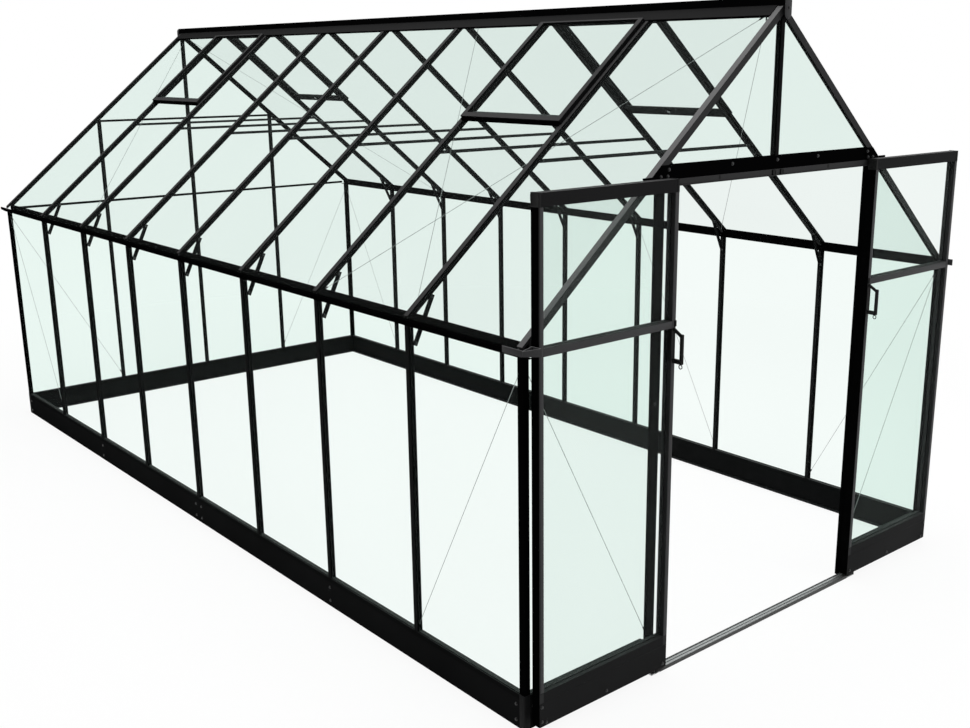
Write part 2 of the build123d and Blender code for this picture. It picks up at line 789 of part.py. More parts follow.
# Sliding doors, shown slid open in front of the side panels
door_mid = door_back + door_depth / 2
stile_inner_a = door_inner + stile_width
stile_inner_b = door_outer - stile_width
rail_span = stile_inner_b - stile_inner_a
rail_bands = [
    (mid_rail_level, mid_rail_top, True, True),
    (kick_top, bottom_rail_top, False, True),
]
pane_bands = [(bottom_rail_top, mid_rail_level), (mid_rail_top, top_rail_bottom)]
handle_head = mid_rail_level + handle_rise
for side, name in ((-1, "left"), (1, "right")):
    with BuildPart() as door_stiles:
        for start, slot_edge in ((door_inner, stile_inner_a), (stile_inner_b, stile_inner_b)):
            with BuildSketch(Plane.XY.offset(kick_top)):
                with Locations((side * (start + stile_width / 2), -door_mid)):
                    Rectangle(stile_width, door_depth)
                with Locations((side * slot_edge, -door_mid)):
                    Rectangle(2 * rail_slot_depth, bar_slot, mode=Mode.SUBTRACT)
            extrude(amount=top_rail_bottom - kick_top)
    save(door_stiles.part, f"{name}_door_stiles")

    with BuildPart() as door_rails:
        for low, high, slot_below, slot_above in rail_bands:
            rail_start = Plane((side * stile_inner_a, -door_mid, low), x_dir=(0, side, 0), z_dir=(side, 0, 0))
            with BuildSketch(rail_start):
                with Locations((0, (high - low) / 2)):
                    Rectangle(door_depth, high - low)
                if slot_below:
                    with Locations((0, 0)):
                        Rectangle(bar_slot, 2 * rail_slot_depth, mode=Mode.SUBTRACT)
                if slot_above:
                    with Locations((0, high - low)):
                        Rectangle(bar_slot, 2 * rail_slot_depth, mode=Mode.SUBTRACT)
            extrude(amount=rail_span)
        top_start = Plane((side * door_inner, -door_mid, door_top), x_dir=(0, side, 0), z_dir=(side, 0, 0))
        with BuildSketch(top_start):
            with Locations((0, -top_rail_height / 2)):
                Rectangle(door_depth, top_rail_height)
            with Locations((0, -top_rail_height)):
                Rectangle(bar_slot, 2 * rail_slot_depth, mode=Mode.SUBTRACT)
        extrude(amount=door_width)
    save(door_rails.part, f"{name}_door_rails")

    with BuildPart() as kick_plate:
        kick_start = side * (door_inner + door_width / 2) - door_width / 2
        kick_end = Plane((kick_start, -door_front, door_foot_gap), x_dir=(0, -1, 0), z_dir=(-1, 0, 0))
        kick_path = [(-door_depth, 0), (0, 0), (0, kick_height), (-door_depth, kick_height)]
        extrude(folded_strip(kick_end, kick_path, kick_thick), amount=-door_width)
    save(kick_plate.part, f"{name}_door_kick_plate")

    with BuildPart() as door_glass:
        for low, high in pane_bands:
            reach = rail_slot_depth - door_glass_edge
            with BuildSketch(Plane.XY.offset(low - reach)):
                with Locations((side * (stile_inner_a + rail_span / 2), -door_mid)):
                    Rectangle(rail_span + 2 * reach, glass_thick)
            extrude(amount=high - low + 2 * reach)
    save(door_glass.part, f"{name}_door_glass")

    with BuildPart() as handle:
        grip_centre = side * (door_inner + stile_width / 2)
        grip_plane = Plane((grip_centre, -door_front, handle_head), x_dir=(0, -1, 0), z_dir=(-1, 0, 0))
        grip_path = [
            (-handle_bar, handle_bar),
            (handle_stand, -handle_splay),
            (handle_stand, -handle_height + handle_splay),
            (-handle_bar, -handle_height),
        ]
        grip_section = folded_strip(grip_plane, grip_path[::-1], handle_bar)
        extrude(grip_section, amount=handle_width / 2, both=True)
        split(bisect_by=Plane((0, -door_front, 0), z_dir=(0, -1, 0)), keep=Keep.TOP)
    save(handle.part, f"{name}_door_handle")

    with BuildPart() as rollers:
        wheel_height = header_bottom + track_thick + running_gap + roller_radius
        wheel_back = gable_face + track_thick + roller_gap
        for spot in (door_inner + roller_inset, door_outer - roller_inset):
            with BuildSketch(Plane((side * spot, -wheel_back, wheel_height), z_dir=(0, -1, 0))):
                Circle(roller_radius)
            extrude(amount=roller_thick)
            with BuildSketch(Plane((side * spot, -wheel_back, wheel_height), z_dir=(0, -1, 0))):
                Circle(roller_axle)
            extrude(amount=door_back - wheel_back)
    save(rollers.part, f"{name}_door_rollers")
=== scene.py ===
import json
import math
import bpy
from mathutils import Matrix, Quaternion, Vector

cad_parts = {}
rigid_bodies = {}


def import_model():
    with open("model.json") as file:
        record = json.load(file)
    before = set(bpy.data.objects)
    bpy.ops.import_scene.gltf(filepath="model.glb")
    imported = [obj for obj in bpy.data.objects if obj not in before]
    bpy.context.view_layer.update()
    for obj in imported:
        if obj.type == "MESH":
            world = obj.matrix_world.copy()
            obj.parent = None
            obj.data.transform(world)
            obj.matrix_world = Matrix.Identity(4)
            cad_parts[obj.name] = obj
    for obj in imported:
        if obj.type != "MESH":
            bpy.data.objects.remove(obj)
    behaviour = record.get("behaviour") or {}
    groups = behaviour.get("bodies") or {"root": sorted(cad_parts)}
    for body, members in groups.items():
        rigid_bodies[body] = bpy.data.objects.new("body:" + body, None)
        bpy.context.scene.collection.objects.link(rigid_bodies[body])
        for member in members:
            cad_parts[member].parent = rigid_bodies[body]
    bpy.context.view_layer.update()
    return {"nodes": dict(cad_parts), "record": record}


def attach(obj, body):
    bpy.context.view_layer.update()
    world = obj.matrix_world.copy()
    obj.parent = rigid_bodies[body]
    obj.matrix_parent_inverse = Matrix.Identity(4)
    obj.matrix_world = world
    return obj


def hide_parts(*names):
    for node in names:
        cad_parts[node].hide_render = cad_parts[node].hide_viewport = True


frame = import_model()
scene = bpy.context.scene
scene.view_settings.view_transform = "Standard"
print("frame loaded:", len(frame["nodes"]), "nodes")


# Shader groups shared by the finishes
def newGroup(name, inputs, outputs):
    group = bpy.data.node_groups.new(name, "ShaderNodeTree")
    for label, kind, value in inputs:
        socket = group.interface.new_socket(name=label, in_out="INPUT", socket_type=kind)
        socket.default_value = value
    for label, kind in outputs:
        group.interface.new_socket(name=label, in_out="OUTPUT", socket_type=kind)
    return group, group.nodes.new("NodeGroupInput"), group.nodes.new("NodeGroupOutput")


def addNode(tree, kind, **settings):
    node = tree.nodes.new(kind)
    for key, value in settings.items():
        if hasattr(node, key):
            setattr(node, key, value)
        else:
            node.inputs[key.replace("_", " ")].default_value = value
    return node


# Powder coat: orange peel for bump, slow drift of tone and gloss, and a painted highlight that makes faces
# that look up lighter, in place of light from above
coatPattern = {"driftScale": 2.3, "peelScale": 420.0, "peelDepth": 0.0004, "topHighlightFrom": 0.45, "topHighlightTo": 0.75,
               "glossDrift": -0.4}


def coatGroup():
    group, given, out = newGroup(
        "powderCoat",
        [("Tone", "NodeSocketColor", (0.02, 0.02, 0.02, 1)), ("Drift", "NodeSocketFloat", 0.25),
         ("Gloss", "NodeSocketFloat", 0.42), ("Peel", "NodeSocketFloat", 0.1),
         ("TopHighlight", "NodeSocketColor", (0.08, 0.08, 0.08, 1))],
        [("Color", "NodeSocketColor"), ("Roughness", "NodeSocketFloat"), ("Normal", "NodeSocketVector")],
    )
    link = group.links.new
    place = addNode(group, "ShaderNodeTexCoord")
    slow = addNode(group, "ShaderNodeTexNoise", Scale=coatPattern["driftScale"], Detail=3.0)
    fine = addNode(group, "ShaderNodeTexNoise", Scale=coatPattern["peelScale"], Detail=2.0)
    for texture in (slow, fine):
        link(place.outputs["Object"], texture.inputs["Vector"])
    lift = addNode(group, "ShaderNodeMath", operation="SUBTRACT")
    link(slow.outputs["Fac"], lift.inputs[0])
    lift.inputs[1].default_value = 0.5
    weigh = addNode(group, "ShaderNodeMath", operation="MULTIPLY")
    link(lift.outputs[0], weigh.inputs[0])
    link(given.outputs["Drift"], weigh.inputs[1])
    gain = addNode(group, "ShaderNodeMath", operation="ADD")
    link(weigh.outputs[0], gain.inputs[0])
    gain.inputs[1].default_value = 1.0
    tint = addNode(group, "ShaderNodeVectorMath", operation="SCALE")
    link(given.outputs["Tone"], tint.inputs[0])
    link(gain.outputs[0], tint.inputs["Scale"])
    tall = addNode(group, "ShaderNodeSeparateXYZ")
    link(place.outputs["Normal"], tall.inputs[0])
    # painted highlight: faces whose normal points up are made lighter, standing in for light from above
    upward = addNode(group, "ShaderNodeMapRange", interpolation_type="SMOOTHSTEP")
    link(tall.outputs["Z"], upward.inputs["Value"])
    upward.inputs["From Min"].default_value = coatPattern["topHighlightFrom"]
    upward.inputs["From Max"].default_value = coatPattern["topHighlightTo"]
    topHighlight = addNode(group, "ShaderNodeVectorMath", operation="SCALE")
    link(given.outputs["TopHighlight"], topHighlight.inputs[0])
    link(upward.outputs["Result"], topHighlight.inputs["Scale"])
    toneWithHighlight = addNode(group, "ShaderNodeVectorMath", operation="ADD")
    link(tint.outputs[0], toneWithHighlight.inputs[0])
    link(topHighlight.outputs[0], toneWithHighlight.inputs[1])
    link(toneWithHighlight.outputs[0], out.inputs["Color"])
    rough = addNode(group, "ShaderNodeMath", operation="MULTIPLY_ADD")
    link(weigh.outputs[0], rough.inputs[0])
    rough.inputs[1].default_value = coatPattern["glossDrift"]
    link(given.outputs["Gloss"], rough.inputs[2])
    link(rough.outputs[0], out.inputs["Roughness"])
    bump = addNode(group, "ShaderNodeBump", Distance=coatPattern["peelDepth"])
    link(fine.outputs["Fac"], bump.inputs["Height"])
    link(given.outputs["Peel"], bump.inputs["Strength"])
    link(bump.outputs["Normal"], out.inputs["Normal"])
    return group


powderCoat = coatGroup()


def newMaterial(name):
    material = bpy.data.materials.new(name)
    material.use_nodes = True
    return material, material.node_tree, material.node_tree.nodes["Principled BSDF"]


def coatMaterial(name, look):
    material, tree, shader = newMaterial(name)
    coat = addNode(tree, "ShaderNodeGroup", node_tree=powderCoat)
    coat.inputs["Tone"].default_value = (*look["tone"], 1)
    for label in ("drift", "gloss", "peel"):
        coat.inputs[label.title()].default_value = look[label]
    # painted highlight on upward faces, with its strength for this finish
    topHighlight = look["topHighlight"]
    coat.inputs["TopHighlight"].default_value = (topHighlight, topHighlight, topHighlight, 1)
    for label in ("Roughness", "Normal"):
        tree.links.new(coat.outputs[label], shader.inputs[label])
    tree.links.new(coat.outputs["Color"], shader.inputs["Base Color"])
    shader.inputs["Specular IOR Level"].default_value = look["shine"]
    shader.inputs["Metallic"].default_value = look["metal"]
    return material


plainCoat = {"drift": 0.5, "gloss": 0.6, "peel": 0.03, "shine": 0.0, "topHighlight": 0.0, "metal": 0.0}
coatLooks = {
    "frameBlack": {"tone": (0.0062, 0.0062, 0.0064), "topHighlight": 0.022},
    "plinthBlack": {"tone": (0.0085, 0.0085, 0.0088), "drift": 0.6, "topHighlight": 0.01},
    "handleBlack": {"tone": (0.006, 0.006, 0.006), "drift": 0.3, "gloss": 0.55, "peel": 0.2, "shine": 0.1},
    "rollerBlack": {"tone": (0.03, 0.03, 0.03), "drift": 0.3, "gloss": 0.5, "peel": 0.1, "shine": 0.3},
    "wireSteel": {"tone": (0.3, 0.31, 0.31), "drift": 0.3, "gloss": 0.35, "peel": 0.05, "shine": 0.5,
                  "metal": 0.9},
    "thresholdAlloy": {"tone": (0.45, 0.455, 0.46), "drift": 0.3, "gloss": 0.38, "peel": 0.05, "shine": 0.5,
                       "metal": 0.9},
    "doorBlack": {"tone": (0.0095, 0.0095, 0.0098), "gloss": 0.5, "shine": 0.02, "topHighlight": 0.014},
    # painted light: the door stiles are a lighter copy of the rails' black coat
    "stileBlackPaintedLight": {"tone": (0.023, 0.023, 0.0235), "drift": 0.4, "gloss": 0.5, "shine": 0.02, "topHighlight": 0.01},
    "trackGrey": {"tone": (0.022, 0.022, 0.0225), "drift": 0.4, "gloss": 0.4, "peel": 0.02, "shine": 0.05},
    # painted light: a lighter grey copy of the black coat for the gutter ends, ridge caps and door face
    # strips
    "greyPaintedLight": {"tone": (0.039, 0.039, 0.04), "drift": 0.4, "gloss": 0.45, "shine": 0.05, "topHighlight": 0.04},
    "boltSteel": {"tone": (0.028, 0.028, 0.0285), "drift": 0.6, "gloss": 0.35, "peel": 0.05, "shine": 0.2},
    # painted shade: a darker copy of the same black coat for the posts, header, gutters and small fittings
    "blackPaintedShade": {"tone": (0.0012, 0.0012, 0.0013)},
    # painted light: lighter copies of the same black coat for the front rafters, the right slope and the wall
    # and back gable bars
    "gableBlackPaintedLight": {"tone": (0.026, 0.026, 0.0265), "gloss": 0.55, "shine": 0.01, "topHighlight": 0.05},
    "roofBlackPaintedLight": {"tone": (0.02, 0.02, 0.0204), "topHighlight": 0.022},
    "barBlackPaintedLight": {"tone": (0.011, 0.011, 0.0113), "topHighlight": 0.022},
    # painted shade: a darker copy of the same black coat for the ridge
    "ridgeBlackPaintedShade": {"tone": (0.0018, 0.0018, 0.0019), "topHighlight": 0.008},
}
finish = {}
for name, look in coatLooks.items():
    finish[name] = coatMaterial(name, {**plainCoat, **look})


# Glass: pale green body, faint drift of tint, hardly any reflection, lamps pass through; roof and door panes
# take darker copies of the tint as painted shade
paneLook = {"drift": 0.015, "gloss": 0.02, "index": 1.004, "cloud": 1.1,
            "wallGlass": {"tone": (0.905, 0.962, 0.938), "clear": 0.998},
            # painted shade: the roof and door panes are the same glass with a darker tint
            "roofGlassPaintedShade": {"tone": (0.84, 0.897, 0.874), "clear": 0.998},
            "doorGlassPaintedShade": {"tone": (0.868, 0.92, 0.898), "clear": 0.994}}


def glassMaterial(name):
    material, tree, shader = newMaterial(name)
    tone = paneLook[name]["tone"]
    link = tree.links.new
    place = addNode(tree, "ShaderNodeTexCoord")
    cloud = addNode(tree, "ShaderNodeTexNoise", Scale=paneLook["cloud"], Detail=2.0)
    link(place.outputs["Object"], cloud.inputs["Vector"])
    ramp = addNode(tree, "ShaderNodeValToRGB")
    low = [c - paneLook["drift"] for c in tone]
    high = [c + paneLook["drift"] for c in tone]
    ramp.color_ramp.elements[0].color = (*low, 1)
    ramp.color_ramp.elements[1].color = (*high, 1)
    link(cloud.outputs["Fac"], ramp.inputs["Fac"])
    link(ramp.outputs["Color"], shader.inputs["Base Color"])
    shader.inputs["Roughness"].default_value = paneLook["gloss"]
    shader.inputs["IOR"].default_value = paneLook["index"]
    shader.inputs["Transmission Weight"].default_value = paneLook[name]["clear"]
    path = addNode(tree, "ShaderNodeLightPath")
    clear = addNode(tree, "ShaderNodeBsdfTransparent")
    clear.inputs["Color"].default_value = (*tone, 1)
    mix = addNode(tree, "ShaderNodeMixShader")
    link(path.outputs["Is Shadow Ray"], mix.inputs["Fac"])
    link(shader.outputs["BSDF"], mix.inputs[1])
    link(clear.outputs["BSDF"], mix.inputs[2])
    link(mix.outputs["Shader"], tree.nodes["Material Output"].inputs["Surface"])
    return material


for name in ("wallGlass", "roofGlassPaintedShade", "doorGlassPaintedShade"):
    finish[name] = glassMaterial(name)

slotFinish = {"frame_black": "frameBlack", "plinth_black": "plinthBlack", "handle_plastic": "handleBlack",
              "roller_plastic": "rollerBlack", "wire_steel": "wireSteel", "threshold_alloy": "thresholdAlloy",
              "clear_glass": "wallGlass"}
nodeFinish = {  # nodes whose finish differs from the rest of their slot; all but the door rails, kick plates and track are lighter and darker copies of the black coat and the glass: painted light and painted shade
    # painted shade: darker copies of the pane tint
    "doorGlassPaintedShade": ("left_door_glass", "right_door_glass"),
    "roofGlassPaintedShade": ("left_roof_glass", "right_roof_glass", "left_vent_glass", "right_vent_glass"),
    # painted light: a lighter copy of the same black coat
    "stileBlackPaintedLight": ("left_door_stiles", "right_door_stiles"),
    "doorBlack": ("left_door_rails", "right_door_rails", "left_door_kick_plate", "right_door_kick_plate"),
    # painted shade: a darker copy of the same black coat
    "blackPaintedShade": ("corner_posts", "door_header", "door_posts", "left_gutter", "right_gutter"),
    # painted light: lighter copies of the same black coat
    "roofBlackPaintedLight": ("right_rafters", "right_vent_frames", "vent_sills", "collar_ties"),
    "barBlackPaintedLight": ("left_wall_bars", "right_wall_bars", "back_gable_bars"),
    "gableBlackPaintedLight": ("front_rafters",),
    # painted shade: a darker copy of the same black coat
    "ridgeBlackPaintedShade": ("ridge_bar",),
    "trackGrey": ("door_track",),
}
for part in frame["record"]["subparts"]:
    node = bpy.data.objects[part["node"]]
    node.data.materials.clear()
    node.data.materials.append(finish[slotFinish[part["material_slot"]]])
for name, nodes in nodeFinish.items():
    for node in nodes:
        bpy.data.objects[node].data.materials[0] = finish[name]
print("finishes set")


# Modelling helpers: all is deselected first, faces and points are picked by place or normal
closeBy = 0.001  # how near a point has to be to count as lying on a face
squarely = 0.9  # how far along an axis a normal has to point to count as facing that way
smoothAngle = math.radians(35)


def deselectAll():
    if bpy.context.object and bpy.context.object.mode != "OBJECT":
        bpy.ops.object.mode_set(mode="OBJECT")
    bpy.ops.object.select_all(action="DESELECT")


def settle(name):
    piece = bpy.context.object
    piece.name = name
    bpy.ops.object.transform_apply(location=True, rotation=True, scale=True)
    return piece


def addBlock(name, low, high):
    deselectAll()
    middle = [(a + b) / 2 for a, b in zip(low, high)]
    bpy.ops.mesh.primitive_cube_add(size=1, location=middle, scale=[b - a for a, b in zip(low, high)])
    return settle(name)


def addStick(name, start, end, radius, sides):
    deselectAll()
    run = Vector(end) - Vector(start)
    bpy.ops.mesh.primitive_cylinder_add(
        vertices=sides, radius=radius, depth=run.length, location=(Vector(start) + Vector(end)) / 2,
        rotation=run.to_track_quat("Z", "Y").to_euler())
    return settle(name)


def pick(piece, kind, test):
    bpy.context.view_layer.objects.active = piece
    bpy.ops.object.mode_set(mode="EDIT")
    bpy.ops.mesh.select_mode(type=kind)
    bpy.ops.mesh.select_all(action="DESELECT")
    bpy.ops.object.mode_set(mode="OBJECT")
    if kind == "FACE":
        for face in piece.data.polygons:
            face.select = test(face.center, face.normal)
    else:
        for point in piece.data.vertices:
            point.select = test(point.co)
    bpy.ops.object.mode_set(mode="EDIT")


def pull(piece, test, move):
    pick(piece, "FACE", test)
    bpy.ops.mesh.extrude_region_move(TRANSFORM_OT_translate={"value": move})
    bpy.ops.object.mode_set(mode="OBJECT")


def shift(piece, test, move):
    pick(piece, "VERT", test)
    bpy.ops.transform.translate(value=move)
    bpy.ops.object.mode_set(mode="OBJECT")


def sink(piece, test, rim, depth):
    pick(piece, "FACE", test)
    bpy.ops.mesh.inset(thickness=rim)
    bpy.ops.mesh.extrude_region_move(TRANSFORM_OT_translate={"value": depth})
    bpy.ops.object.mode_set(mode="OBJECT")


def roundEdges(piece, width, segments=2):
    bpy.context.view_layer.objects.active = piece
    rounding = piece.modifiers.new("rounding", "BEVEL")
    rounding.width = width
    rounding.segments = segments
    rounding.limit_method = "ANGLE"
    bpy.ops.object.modifier_apply(modifier=rounding.name)
    return piece


def copyTo(piece, matrix):
    twin = piece.copy()
    twin.data = piece.data.copy()
    twin.data.transform(matrix)
    scene.collection.objects.link(twin)
    if matrix.determinant() < 0:
        pick(twin, "FACE", lambda centre, normal: True)
        bpy.ops.mesh.normals_make_consistent(inside=False)
        bpy.ops.object.mode_set(mode="OBJECT")
    return twin


def joinAs(name, pieces):
    deselectAll()
    for piece in pieces:
        piece.select_set(True)
    bpy.context.view_layer.objects.active = pieces[0]
    bpy.ops.object.join()
    joined = bpy.context.object
    joined.name = name
    return joined


def dress(piece, body, look):
    deselectAll()
    piece.select_set(True)
    bpy.context.view_layer.objects.active = piece
    bpy.ops.object.shade_smooth_by_angle(angle=smoothAngle)
    piece.data.materials.clear()
    piece.data.materials.append(finish[look])
    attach(piece, body)


def mirrored(piece, name, matrix):
    twin = copyTo(piece, matrix)
    twin.name = name
    return twin


overX = Matrix.Diagonal((-1, 1, 1, 1))
overY = Matrix.Diagonal((1, -1, 1, 1))
overBoth = overX @ overY
print("helpers ready")

# Gutter ends: a sleeve round the lip and a wedge-shaped spout beside the door's path
gutterEnd = {"front": -2.5365, "tip": -2.582, "slant": 0.038, "inner": -1.2424, "outer": -1.2876,
             "low": 1.350, "high": 1.369, "back": -2.44, "wall": 0.0026, "rise": 0.009, "rim": 0.003,
             "sink": -0.014, "topFacing": 0.7, "spoutEdge": 0.0008, "sleeveDrop": 0.002, "sleeveLip": 0.0012,
             "sleeveEdge": 0.0006}


def gutterEndPiece():
    look = gutterEnd
    inner, outer, tip = look["inner"], look["outer"], look["tip"]
    spout = addBlock("spout", (outer, tip, look["low"]), (inner, look["front"], look["high"]))
    shift(spout, lambda p: p.x < outer + closeBy and p.y < tip + closeBy, (0, look["slant"], 0))
    shift(spout, lambda p: p.x > inner - closeBy and p.z > look["high"] - closeBy, (0, 0, look["rise"]))
    sink(spout, lambda c, n: n.z > look["topFacing"], look["rim"], (0, 0, look["sink"]))
    roundEdges(spout, look["spoutEdge"])
    sleeve = addBlock("sleeve", (outer, look["front"], look["low"] - look["sleeveDrop"]),
                      (outer + look["wall"], look["back"], look["high"]))
    pull(sleeve, lambda c, n: n.z > squarely, (0, 0, look["sleeveLip"]))
    roundEdges(sleeve, look["sleeveEdge"])
    return joinAs("leftGutterEnd", [spout, sleeve])


leftEnd = gutterEndPiece()
# painted light: the gutter ends are dressed in the lighter grey copy of the black coat
for piece in (leftEnd, mirrored(leftEnd, "rightGutterEnd", overX)):
    dress(piece, "house", "greyPaintedLight")
print("gutter ends done")

# Ridge ends: rounded cover plates
ridgeCap = {"radius": 0.0185, "sides": 28, "low": 2.394, "high": 2.4735, "face": -2.5295, "thick": 0.0035,
            "rim": 0.004, "raise": -0.001, "edge": 0.0006}


def ridgeCapPiece():
    look = ridgeCap
    foot = look["low"] + look["radius"]
    disc = addStick("frontRidgeCap", (0, look["face"], foot), (0, look["face"] - look["thick"], foot),
                    look["radius"], look["sides"])
    shift(disc, lambda p: p.z > foot + closeBy, (0, 0, look["high"] - foot - look["radius"]))
    sink(disc, lambda c, n: n.y < -squarely, look["rim"], (0, look["raise"], 0))
    return roundEdges(disc, look["edge"])


frontCap = ridgeCapPiece()
# painted light: the ridge caps are dressed in the lighter grey copy of the black coat
for piece in (frontCap, mirrored(frontCap, "backRidgeCap", overY)):
    dress(piece, "house", "greyPaintedLight")

# Vent foot lips: close the step between each vent and the pane below it
roofSlope = {"apex": 2.4465, "pitch": 40.33, "vents": (-1.5625, 1.5625)}
ventLip = {"foot": 0.6677, "reach": 0.010, "low": -0.0028, "high": 0.011, "half": 0.306, "chamfer": -0.006,
           "edge": 0.001}


def onSlopes(model, name, aside=0.0):
    lift = Matrix.Translation((0, 0, roofSlope["apex"]))
    model.data.transform(lift @ Matrix.Rotation(-math.radians(roofSlope["pitch"]), 4, "Y"))
    copies = []
    for middle in roofSlope["vents"]:
        place = Matrix.Translation((0, middle + aside, 0))
        copies += [copyTo(model, place), copyTo(model, overX @ place)]
    bpy.data.objects.remove(model)
    return joinAs(name, copies)


def ventLipPiece():
    look = ventLip
    foot, reach = look["foot"], look["reach"]
    lip = addBlock("lip", (-foot - reach, -look["half"], look["low"]), (-foot, look["half"], look["high"]))
    shift(lip, lambda p: p.x < -foot - reach / 2 and p.z > look["high"] - closeBy, (0, 0, look["chamfer"]))
    roundEdges(lip, look["edge"])
    return onSlopes(lip, "ventFootLips")


# painted shade: the lips take the darker copy of the black coat
dress(ventLipPiece(), "house", "blackPaintedShade")

# Vent catches: a small stud under the middle of each vent sill
ventCatch = {"along": (-0.642, -0.633), "half": 0.007, "low": -0.0166, "high": -0.0100, "aside": 0.03,
             "rim": 0.002, "dip": 0.0015, "edge": 0.001}


def ventCatchPiece():
    look = ventCatch
    start, end = look["along"]
    stud = addBlock("stud", (start, -look["half"], look["low"]), (end, look["half"], look["high"]))
    sink(stud, lambda c, n: n.z < -squarely, look["rim"], (0, 0, look["dip"]))
    roundEdges(stud, look["edge"])
    return onSlopes(stud, "ventCatches", look["aside"])


dress(ventCatchPiece(), "house", "wireSteel")
print("ridge and vents done")

# Door handles: a bow from the stile with a clip round it and a hanging ring
handle = {"middle": -0.6067, "half": 0.006, "out": -2.609, "in": -2.5965, "stile": -2.5625, "top": 1.3262,
          "shoulder": 1.315, "heel": 1.2335, "foot": 1.2172, "lift": 0.02, "bowEdge": 0.0028, "side": -0.6162,
          "clipLow": 1.226, "clipHigh": 1.346, "clipThick": 0.003, "clipRim": 0.003, "clipDip": 0.0012,
          "glassFront": -2.5466, "glassBack": -2.5416, "clipBack": -2.531, "faceThick": 0.002,
          "faceInset": 0.004, "faceDip": 0.0008, "edge": 0.001, "lugLow": 1.3455, "lugHigh": 1.3705,
          "lugOut": -2.5685, "lugOverlap": 0.005, "lugSide": -0.5975, "lugRise": 0.004, "lugEdge": 0.0015,
          "ringAt": (-0.6067, -2.5995, 1.2085), "ringRadius": 0.0072, "ringTube": 0.0017,
          "ringSides": 20, "tubeSides": 8}


def handlePiece():
    look = handle
    left, right = look["middle"] - look["half"], look["middle"] + look["half"]
    reach = look["stile"] - look["in"]
    bow = addBlock("bow", (left, look["out"], look["shoulder"]), (right, look["in"], look["top"]))
    pull(bow, lambda c, n: n.y > squarely, (0, reach, look["lift"]))
    pull(bow, lambda c, n: n.z < -squarely and c.y < look["in"], (0, 0, look["heel"] - look["shoulder"]))
    pull(bow, lambda c, n: n.z < -squarely and c.y < look["in"], (0, 0, look["foot"] - look["heel"]))
    pull(bow, lambda c, n: n.y > squarely and c.z < look["heel"], (0, reach, 0))
    roundEdges(bow, look["bowEdge"], 3)
    clipSide = look["side"] - look["clipThick"]
    clips = []
    for near, far in ((look["stile"], look["glassFront"]), (look["glassBack"], look["clipBack"])):
        clip = addBlock("clip", (clipSide, near, look["clipLow"]), (look["side"], far, look["clipHigh"]))
        sink(clip, lambda c, n: n.x < -squarely, look["clipRim"], (look["clipDip"], 0, 0))
        clips.append(roundEdges(clip, look["edge"]))
    thick, inset = look["faceThick"], look["faceInset"]
    face = addBlock("face", (clipSide, look["stile"] - thick, look["clipLow"] + inset),
                    (right + thick, look["stile"], look["clipHigh"] - inset))
    sink(face, lambda c, n: n.y < -squarely, look["clipRim"], (0, look["faceDip"], 0))
    roundEdges(face, look["edge"])
    lugOut, lugLow = look["lugOut"], look["lugLow"]
    lug = addBlock("lug", (right - look["lugOverlap"], lugOut, lugLow),
                   (look["lugSide"], look["stile"], look["lugHigh"]))
    shift(lug, lambda p: p.y < lugOut + closeBy and p.z < lugLow + closeBy, (0, 0, look["lugRise"]))
    roundEdges(lug, look["lugEdge"])
    deselectAll()
    bpy.ops.mesh.primitive_torus_add(location=look["ringAt"], rotation=(0, math.radians(90), 0),
                                     major_radius=look["ringRadius"], minor_radius=look["ringTube"],
                                     major_segments=look["ringSides"], minor_segments=look["tubeSides"])
    ring = settle("ring")
    return joinAs("leftHandle", [bow, face, lug, ring] + clips)


leftHandle = handlePiece()
rightHandle = mirrored(leftHandle, "rightHandle", overX)
for piece, side in ((leftHandle, "left"), (rightHandle, "right")):
    dress(piece, f"{side}_door", "handleBlack")
    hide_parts(f"{side}_door_handle")
print("handles done")

# Door leaf trim: end sleeves on the top rail, a floor guide, beads at the foot, face strips in the lighter
# grey of painted light and edges in the darker black of painted shade
doorTrim = {"outer": -1.2374, "inner": -0.5972, "front": -2.5625, "back": -2.5257, "proud": 0.0009,
            "railLow": 1.8166, "railHigh": 1.8606, "sleeve": 0.009, "sleeveRim": 0.004, "dish": 0.0006,
            "guide": (-0.652, -0.604), "guideLow": 0.0105, "guideHigh": 0.026, "guideThick": 0.0032,
            "guideRise": 0.01, "trimEdge": 0.0006, "beads": (0.1150, 0.1535), "beadHigh": 0.0022,
            "beadInset": 0.002, "beadBed": 0.001, "beadEdge": 0.0005, "railInset": 0.0195, "faceLow": 1.3432,
            "faceHigh": 1.3682, "stileFaces": ((-1.2335, -1.2187), (-0.6158, -0.5976)), "stileLow": 0.1545,
            "stileHigh": 1.8155, "faceRim": 0.002, "faceRise": -0.0002, "faceEdge": 0.0004, "edge": 0.0005,
            "edgeLow": 0.0245, "edgeRound": 0.0001}


def railSleeves(look, proud):
    outer, inner, long, dish = look["outer"], look["inner"], look["sleeve"], look["dish"]
    sleeves = []
    for start, end, inward in ((outer - proud, outer + long, dish), (inner - long, inner + proud, -dish)):
        sleeve = addBlock("railEnd", (start, look["front"] - proud, look["railLow"] - proud),
                          (end, look["back"] + proud, look["railHigh"] + proud))
        sink(sleeve, lambda c, n: n.x * inward < 0 and abs(n.x) > squarely, look["sleeveRim"], (inward, 0, 0))
        sleeves.append(roundEdges(sleeve, look["trimEdge"]))
    return sleeves


